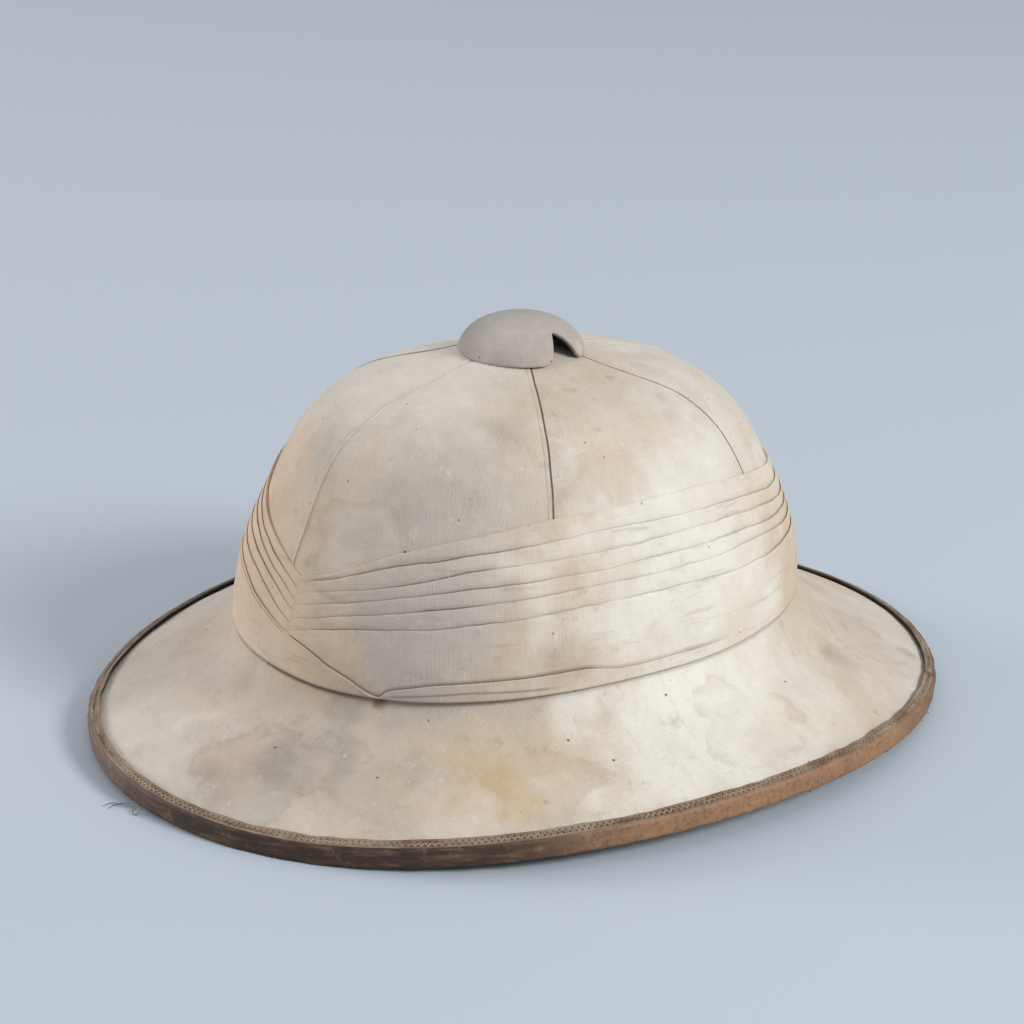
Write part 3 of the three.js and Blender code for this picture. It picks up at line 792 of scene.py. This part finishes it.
def bandRows(turn):
    # height above the floor and distance off the crown of each row, and how dark it is painted: shade in the crevices
    # between folds, under the lap's edge, under a crease and along the hem, with some dirt
    rows = []
    foot = footHeight(turn) + band["hem"] + 0.15 * ringNoise(90, turn, 26)
    lines = {}
    for i, name in enumerate("ABCDEFG"):
        flow = band["flow"] * ringNoise(100 + i, turn, 30) + 0.15 * ringNoise(120 + i, turn, 90)
        calm = 0.25 if name in "AG" else 1
        lines[name] = foldLine(name, turn) + flow * calm
    away = turn - mitre["turn"]
    crease = -mitre["crease"] * np.exp(-((away / 0.45) ** 2))
    over = mitre["overlap"] * np.where(away < 0, np.exp(away / 4), 0) * smooth(0.2, -0.2, away)

    flat = 1 - mitre["press"] * np.exp(-((away / mitre["pressSpan"]) ** 2))
    right = smooth(38, 72, turn) * smooth(152, 122, turn)
    proud = band["proud"] * flat * (1 + 0.25 * ringNoise(95, turn, 18)) * (1 - 0.42 * right)
    left = smooth(10, -12, turn) * smooth(-100, -60, turn)
    proud = proud * (1 - 0.3 * left)

    # each fold darkens the crevice above its top and its foot where it dives under the next fold: painted shade with
    # some dirt
    def fold(top, nextTop, layer, puff, grimeAndCreaseShade, topGrimeAndShade):
        spans = top - nextTop
        behind = band["sunk"] if topGrimeAndShade is None else layer + 0.3 * proud
        topGrimeAndShade = 0 if topGrimeAndShade is None else topGrimeAndShade
        return [
            (top - 0.5, behind + 0 * top, topGrimeAndShade), (top - 0.04, behind + 0.06 * proud, 0.8 * topGrimeAndShade),
            (top + 0.1, layer + 0.58 * proud, 0.1), (top, layer + 0.84 * proud, 0),
            (top - 0.35, layer + proud, 0),
            (top - 0.33 * spans, layer + 0.92 * proud + puff, 0),
            (top - 0.62 * spans, layer + 0.74 * proud + puff, 0),
            (nextTop + 0.8, layer + 0.52 * proud, 0.2 * grimeAndCreaseShade),
            (nextTop + 0.22, layer + 0.38 * proud, 0.85 * grimeAndCreaseShade),
            (nextTop - 0.6, layer + 0.16 * proud, grimeAndCreaseShade),
        ]

    for i, (name, nextName) in enumerate(zip("ABCDE", "BCDEF")):
        layer = gap + i * band["spread"] + crease + over
        puff = band["puff"] * ringNoise(140 + i, turn, 40)
        # the painted crevice shade is weaker on the lit right side and near the mitre
        grimeAndCreaseShade = (0.65 + 0.35 * np.clip(ringNoise(160 + i, turn, 24) * 2, -1, 1)) * (1 - 0.6 * right) * (1 - 0.35 * left)
        fade = 0.15 + 0.85 * smooth(0, 16, np.abs(away))
        rows += fold(lines[name], lines[nextName], layer, puff, grimeAndCreaseShade * fade, None if i == 0 else grimeAndCreaseShade * fade)
    apronTop, lapTop = lines["F"], np.minimum(lines["G"], lines["F"] - 0.95)
    layer = gap + 5 * band["spread"]
    # the crevice above the apron's top is painted dark as shade
    rows += [
        (apronTop - 0.5, layer + 0.3 * proud, 1), (apronTop - 0.04, layer + 0.36 * proud, 0.7),
        (apronTop + 0.1, layer + 0.58 * proud, 0.1), (apronTop, layer + 0.84 * proud, 0),
        (apronTop - 0.35, layer + proud, 0),
    ]
    lap = lapCurve(turn)
    fadeRipple = smooth(29, 33, turn) * smooth(68, 60, turn)

    def apron(z):
        share = np.clip((z - foot) / (apronTop - foot), 0, 1)
        swell = 0.45 * np.sin(np.pi * np.clip(share, 0, 1))
        folds = 0.3 * ringNoise(180, turn + share * 22, 22) + 0.16 * ringNoise(181, turn - share * 30, 48)
        return layer + 0.95 * proud + swell * 0.8 + folds * np.sin(np.pi * share) ** 0.6

    for k in range(1, band["apronRows"]):
        z = lerp(apronTop - 0.35, lapTop + 0.35, k / band["apronRows"])
        rows.append((z, apron(z), 0))
    under = apron(lapTop)
    # a dark line under the lap's edge: painted shade with some dirt
    grimeAndCreaseShade = smooth(0.05, 0.5, lap) * smooth(7, 9, turn)
    rows += [
        (lapTop + 0.25, under, 0.75 * grimeAndCreaseShade), (lapTop - 0.25 * grimeAndCreaseShade, under + 0.06, 1.0 * grimeAndCreaseShade),
        (lapTop + 0.02, under + 0.14 + 0.08 * lap, 0.6 * grimeAndCreaseShade), (lapTop + 0.1 * grimeAndCreaseShade, under + 0.16 + 0.5 * lap, 0),
        (lapTop - 0.12, under + 0.1 + 0.88 * lap, 0), (lapTop - 0.55, under + lap, 0),
    ]
    for k in range(1, band["lowRows"] + 1):
        z = lerp(lapTop - 0.55, foot + 0.5, k / band["lowRows"])
        share = np.clip((z - foot) / np.maximum(lapTop - foot, 1), 0, 1)
        below = rippleCurve(turn) - z
        bump = 0.5 * fadeRipple * smooth(-0.5, 0.35, below) * np.exp(-np.maximum(below, 0) / 3.5)
        # a painted shade line just under the crease
        line = fadeRipple * np.exp(-((below + 0.3) / 0.45) ** 2) * 0.7
        # darker towards the hem's foot: painted shade against the brim with some dirt, less on the lit right side
        hemDirtAndShade = 0.5 * smooth(1.3, 0.2, z - foot) * (1 - 0.6 * right)
        rows.append((z, apron(z) + lap * (0.45 + 0.55 * share) + bump, line + hemDirtAndShade))
    hemOut = apron(foot) + 0.45 * lap
    # the hem's underside against the brim is painted dark as shade
    rows += [(foot + 0.1, hemOut - 0.15, 0.7), (foot - 0.25, hemOut - 0.7, 1), (foot - 0.3, 0.1 + 0 * foot, 1)]
    for share in np.linspace(0.04, 1, 6):
        rows.append((lerp(foot, lines["A"] - 0.6, share), band["sunk"] + 0 * foot, 0))
    full = [[np.broadcast_to(value, turn.shape) for value in row] for row in rows]
    return [np.stack(part, 1) for part in zip(*full)]


def buildBand():
    turn = bandTurns()
    height, distance, dirtAndShade = bandRows(turn)
    points = besideShell(turn[:, None], alongAtHeight(turn[:, None], height), distance)
    around = runLengths(points[:, 40])
    across = np.concatenate([height, height[:, :1]], 1)
    across = np.concatenate([across, across[:1]]) / 1000
    uv = np.stack(np.broadcast_arrays(around[:, None], across), -1)
    return gridMesh("pleatedBand", points, uv, np.clip(dirtAndShade, 0, 1))


pleatedBand = buildBand()
pleatedBand.data.materials.append(bandCloth)
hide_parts("pugaree")
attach(pleatedBand, "root")
for number, turn in enumerate(seamTurns, 1):
    buildWelt(number, turn)
print("band and seams made")


# the leather round the brim's edge

bindingShape = {"turnSteps": 900, "faceBow": 0.22, "wear": 0.16, "lipSway": 0.22}


def bindingTurns():
    return np.linspace(0, 360, bindingShape["turnSteps"], endpoint=False)


def bindingSection():
    # inward from the outline and up from its foot; the third number is how far up the brim's slope
    # the point rides, the fourth how dark it is painted, as shade under the lip, in the gaps against the brim and under
    # the foot
    thick, tall, corner = leather["thick"], leather["height"], leather["corner"]
    flatEnd = 1 + leather["footFlat"]
    rows = [(leather["topLip"], tall - 0.55, 1, 1), (leather["topLip"] - 0.05, tall - 0.2, 1, 0.5)]
    for inward in np.linspace(leather["topLip"] - 0.3, corner + 0.2, 11):
        rows.append((inward, tall, 1, 0))
    for angle in np.radians(np.linspace(80, 8, 7)):
        rows.append((corner * (1 - math.cos(angle)), tall - corner * (1 - math.sin(angle)), 0, 0))
    for up in np.linspace(tall - corner - 0.4, corner + 0.3, 10):
        rows.append((0, up, 0, 0))
    for angle in np.radians(np.linspace(10, 80, 5)):
        rows.append((1 - math.cos(angle), 1.0 - math.sin(angle), 0, 0.15))
    rows += [(1.2, 0, 0, 0.4), (flatEnd, 0, 0, 0.4), (leather["footLip"], 0, 2, 0.4)]
    rows += [(leather["footLip"], thick, 2, 1), (flatEnd, thick, 0, 1), (thick + gap, thick, 0, 1)]
    rows += [(thick + gap, tall - thick, 0, 1), (leather["topLip"], tall - thick, 1, 1)]
    return np.array(rows)


def bindingPoints(turn, inward, up, ride):
    point, out = edgeFrame(turn)
    high, low = brimPoint(turn, 0.8 + 0 * turn), brimPoint(turn, 1 + 0 * turn)
    slope = (high[..., 2] - low[..., 2]) / np.hypot(*np.moveaxis(high - low, -1, 0)[:2])
    start = np.where(ride == 2, 1 + leather["footFlat"], leather["corner"])
    rise = np.where(ride > 0, np.maximum(inward - start, 0) * slope, 0)
    place = point - out * inward[..., None]
    place[..., 2] += up + rise
    return place


def buildBinding():
    turn = bindingTurns()[:, None]
    section = bindingSection()
    inward, up, ride, dirtAndShade = [section[None, :, k] for k in range(4)]
    turn, inward, up, ride, dirtAndShade = np.broadcast_arrays(turn, inward, up, ride, dirtAndShade)
    bow = bindingShape["faceBow"] * np.sin(np.pi * np.clip(up / leather["height"], 0, 1))
    wear = bindingShape["wear"] * ringNoise(200, turn, 160) + 0.1 * ringNoise(201, turn + up * 3, 320)
    outerFace = smooth(1.4, 0.2, inward)
    lip = smooth(2.2, leather["topLip"], inward) * (ride == 1)
    sway = bindingShape["lipSway"] * ringNoise(202, turn, 120)
    press = 0.16 * np.exp(-((inward - 2.5) / 0.9) ** 2) * (ride == 1)
    roll = 0.12 * ringNoise(203, turn, 90) * (ride == 1) * smooth(0, 1.5, inward)
    points = bindingPoints(
        turn, inward - (bow + wear - 0.2) * outerFace + sway * lip, up - press + roll, ride
    )
    points[..., 2] = np.maximum(points[..., 2], edgeHeight(turn) * (up < 2))
    around = runLengths(points[:, 14])
    steps = np.linalg.norm(np.diff(section[:, :2], axis=0), axis=1)
    across = np.concatenate([[0], np.cumsum(steps), [steps.sum() + 1]]) / 1000
    uv = np.stack(np.broadcast_arrays(around[:, None], across[None]), -1)
    return gridMesh("leatherBinding", points, uv, dirtAndShade)


leatherBinding = buildBinding()
leatherBinding.data.materials.append(bindingLeather)
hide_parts("brim_binding")
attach(leatherBinding, "root")


# zigzag stitches on the binding's top: two rows of holes, with a thread lying between them

stitches = {"radius": 0.19, "sides": 6, "lift": 0.0, "rowNear": 1.95, "rowFar": 3.05}


def buildStitches():
    turn = np.linspace(0, 360, 4001)
    line = bindingPoints(turn, 2.5 + 0 * turn, leather["height"] + 0 * turn, 1 + 0 * turn)
    run = np.concatenate([[0], np.cumsum(np.linalg.norm(np.diff(line, axis=0), axis=1))])
    count = 2 * int(run[-1] / leatherLook["stitchPitch"] / 2)
    random = np.random.default_rng(7)
    at = np.interp(np.arange(count + 1) / count * run[-1], run, turn)
    paths = []
    for k in range(count):
        if random.random() < 0.04:
            continue
        rows = (stitches["rowNear"], stitches["rowFar"])
        start, end = rows if k % 2 == 0 else rows[::-1]
        share = np.array([0.02, 0.3, 0.7, 0.98])
        place = lerp(at[k], at[k + 1], share)
        inward = lerp(start, end, share) + random.normal() * 0.08
        up = leather["height"] + stitches["lift"] + np.array([-0.25, 0.06, 0.06, -0.25])
        paths.append(bindingPoints(place, inward, up, 1 + 0 * place))
    return tubes("bindingStitches", paths, stitches["radius"], stitches["sides"])


bindingStitches = buildStitches()
bindingStitches.data.materials.append(stitchThread)
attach(bindingStitches, "root")


# frayed ends: a few loose threads at the foot, and short fibres along the lower edge

def buildThreads():
    random = np.random.default_rng(11)
    start = np.array([13.5, -177.3, 1.0])
    bends = [
        [(0, 0, 0), (-2, -2.5, 0.2), (-5, -4.5, 0), (-7.5, -4.2, -0.5), (-8.6, -6.5, -0.7), (-8, -9.5, -0.8)],
        [(-2.5, -0.5, 0.3), (-5, -3, 0.1), (-6, -6, -0.5), (-5, -8.6, -0.8)],
        [(1.5, 0, 0.3), (2.2, -2, 0.4), (4, -3.2, -0.5), (5.2, -1.8, -0.7), (4.2, -0.4, 0)],
    ]
    paths = []
    for bend in bends:
        bend = np.array(bend, float)
        fine = np.linspace(0, len(bend) - 1, 26)
        curve = np.stack([np.interp(fine, range(len(bend)), bend[:, k]) for k in range(3)], 1)
        for _ in range(6):
            curve[1:-1] = (curve[:-2] + 2 * curve[1:-1] + curve[2:]) / 4
        paths.append(start + curve)
    for turn in [28, 41, 58, 66, 79, 92, 101, 110, 123, 133, 141, 205, 260, 300, 341]:
        point, out = edgeFrame(turn + random.uniform(-3, 3))
        root = point + out * 0.1 + np.array([0, 0, 0.4 + random.uniform(0, 1)])
        tip = root + out * random.uniform(0.6, 1.3) + random.normal(size=3) * [0.5, 0.5, 0.25]
        tip[2] = max(tip[2], 0.3)
        paths.append(np.linspace(root, tip, 5))
    return tubes("looseThreads", paths, 0.16, 5)


looseThreads = buildThreads()
looseThreads.data.materials.append(looseThread)
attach(looseThreads, "root")
print("binding made")


# the vent cap: a cloth-covered dome with an arched notch on each side

cap = {
    "radius": 24.2, "rim": 144.9, "rise": 14.5, "wall": 2.2, "notchTurn": 102,
    "notchHalf": 7.2, "notchHeight": 10.6, "foot": 2.2, "meridians": 720, "steps": 44,
}


def notchTop(side):
    # how high the notch reaches at a distance to the side of its middle
    share = np.clip(np.abs(side) / cap["notchHalf"], 0, 1)
    arch = cap["notchHeight"] * (1 - share ** 1.45) ** 0.78
    flare = cap["foot"] * np.exp(-((np.abs(side) - cap["notchHalf"]) / 1.5).clip(0) * 1.6)
    return np.where(np.abs(side) < cap["notchHalf"], np.maximum(arch, flare * share ** 6), flare)


def capEdgeAngle(turn, radius, rise):
    # the angle up the dome at which its wall starts, over the notch or at the rim
    away = (turn - cap["notchTurn"] + 90) % 180 - 90
    angle = np.linspace(0, 1.35, 700)
    z = rise * np.sin(angle)
    side = radius * np.cos(angle) * np.sin(np.radians(away))[:, None]
    cut = notchTop(side) > z
    near = np.abs(away) < 40
    last = np.where(cut & near[:, None], angle, 0).max(1)
    return last


def capTurns():
    even = np.linspace(0, 360, cap["meridians"], endpoint=False)
    edges = [cap["notchTurn"] + a for a in (-17, 17, 163, 197)]
    extra = [np.linspace(e - 4, e + 4, 60) for e in edges]
    return np.unique(np.round(np.concatenate([even, *extra]) % 360, 4))


def buildCap():
    turn = capTurns()
    start = capEdgeAngle(turn, cap["radius"], cap["rise"])
    kernel = np.ones(5) / 5
    start = np.convolve(np.concatenate([start[-2:], start, start[:2]]), kernel, "valid")
    share = 1 - (1 - np.linspace(0, 1, cap["steps"])) ** 0.8
    half = cap["wall"] / 2

    def dome(angle, inset):
        radius = (cap["radius"] - inset) * np.cos(angle)
        return radius, (cap["rise"] - inset) * np.sin(angle)

    angles = start[:, None] + 0.07 + (math.pi / 2 - 0.001 - start[:, None] - 0.07) * share[None]
    r, z = dome(angles, 0)
    bulge = 0.12 * wobble(300, r * np.sin(np.radians(turn))[:, None] / 9, r * np.cos(np.radians(turn))[:, None] / 9)
    r, z = r + bulge * np.cos(angles), z + bulge * np.sin(angles)
    edge = []
    for inset, push in [(0.15, 0.035), (0.5, 0.008), (1.1, 0), (1.7, 0.008), (2.05, 0.03)]:
        edge.append(dome(start + push, inset))
    edgeR, edgeZ = [np.stack(part, 1) for part in zip(*edge)]
    innerAngles = start[:, None] + 0.08 + (math.pi / 2 - 0.002 - start[:, None] - 0.08) * share[None]
    innerR, innerZ = dome(innerAngles, cap["wall"])
    radius = np.concatenate([r[:, ::-1], edgeR[:, :], innerR], 1)
    height = np.concatenate([z[:, ::-1], edgeZ[:, :], innerZ], 1)
    around = np.radians(turn)[:, None]
    points = np.stack([
        capAxis[0] + radius * np.sin(around), capAxis[1] - radius * np.cos(around),
        cap["rim"] + height + 0 * around,
    ], -1)
    n, m = points.shape[:2]
    # the cap's inner surface and the inside of its edge are painted dark as shade
    dirtAndShade = np.zeros((n, m))
    dirtAndShade[:, cap["steps"] + 3:] = 1
    dirtAndShade[:, cap["steps"]:cap["steps"] + 3] = [0.05, 0.15, 0.5]
    flat = np.concatenate([points[..., :2], points[:1, :, :2]]) / 1000
    flat = np.concatenate([flat, flat[:, :1]], 1)
    return gridMesh("domedCap", points, flat, dirtAndShade, closeAcross=False)


domedCap = buildCap()
domedCap.data.materials.append(capCloth)
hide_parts("vent_cap")
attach(domedCap, "root")
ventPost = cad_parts["vent_post"]
ventPost.data.materials.clear()
ventPost.data.materials.append(postMetal)
print("vent made")


# floor, light and camera

studio = {
    "half": 30, "floor": rgb(190, 198, 206), "world": rgb(236, 240, 247), "worldStrength": 0.64,
}


def buildFloor():
    finish = Finish("studioFloor")
    grain = finish.noise(900, 2, 0.5)
    material = finish.done(studio["floor"], 0.55, grain, 0.0001, 0.2, {"Specular IOR Level": 0.25})
    half = studio["half"] * 1000
    corners = [(-half, -half, -0.02), (half, -half, -0.02), (half, half, -0.02), (-half, half, -0.02)]
    floor = makeMesh("studioFloor", corners, [(0, 1, 2, 3)])
    floor.data.materials.append(material)


lights = [
    {"name": "keyLight", "turn": 112, "tilt": 33, "away": 3.4, "size": 1.1, "power": 82, "tint": (0.95, 0.98, 1)},
    {"name": "fillLight", "turn": -48, "tilt": 15, "away": 3.6, "size": 1.4, "power": 55, "tint": (1, 0.97, 0.95)},
]


def direction(turn, tilt):
    a, e = math.radians(turn), math.radians(tilt)
    return Vector((math.sin(a) * math.cos(e), -math.cos(a) * math.cos(e), math.sin(e)))


def addLight(values):
    data = bpy.data.lights.new(values["name"], "AREA")
    data.shape = "DISK"
    data.size, data.energy, data.color = values["size"], values["power"], values["tint"]
    lamp = bpy.data.objects.new(values["name"], data)
    back = direction(values["turn"], values["tilt"])
    lamp.location = Vector((0, 0, 0.07)) + back * values["away"]
    lamp.rotation_mode = "QUATERNION"
    lamp.rotation_quaternion = (-back).to_track_quat("-Z", "Y")
    bpy.context.scene.collection.objects.link(lamp)


camera = {
    "target": (0, -0.0032, 0.070), "turn": 56.1, "tilt": 20.9, "away": 1.038, "lens": 93.34,
    "roll": 1.17, "shift": (-0.0071, 0.0173),
}


def addCamera():
    data = bpy.data.cameras.new("camera")
    data.sensor_width, data.lens = 36, camera["lens"]
    data.shift_x, data.shift_y = camera["shift"]
    data.clip_start, data.clip_end = 0.05, 100
    eye = bpy.data.objects.new("camera", data)
    back = direction(camera["turn"], camera["tilt"])
    eye.location = Vector(camera["target"]) + back * camera["away"]
    eye.rotation_mode = "QUATERNION"
    roll = Quaternion((0, 0, 1), math.radians(camera["roll"]))
    eye.rotation_quaternion = (-back).to_track_quat("-Z", "Y") @ roll
    bpy.context.scene.collection.objects.link(eye)
    bpy.context.scene.camera = eye


buildFloor()
for values in lights:
    addLight(values)
world = bpy.data.worlds.new("studio")
world.use_nodes = True
world.node_tree.nodes["Background"].inputs["Color"].default_value = studio["world"]
world.node_tree.nodes["Background"].inputs["Strength"].default_value = studio["worldStrength"]
bpy.context.scene.world = world
addCamera()
bpy.context.scene.view_settings.view_transform = "Standard"
print("stage set")
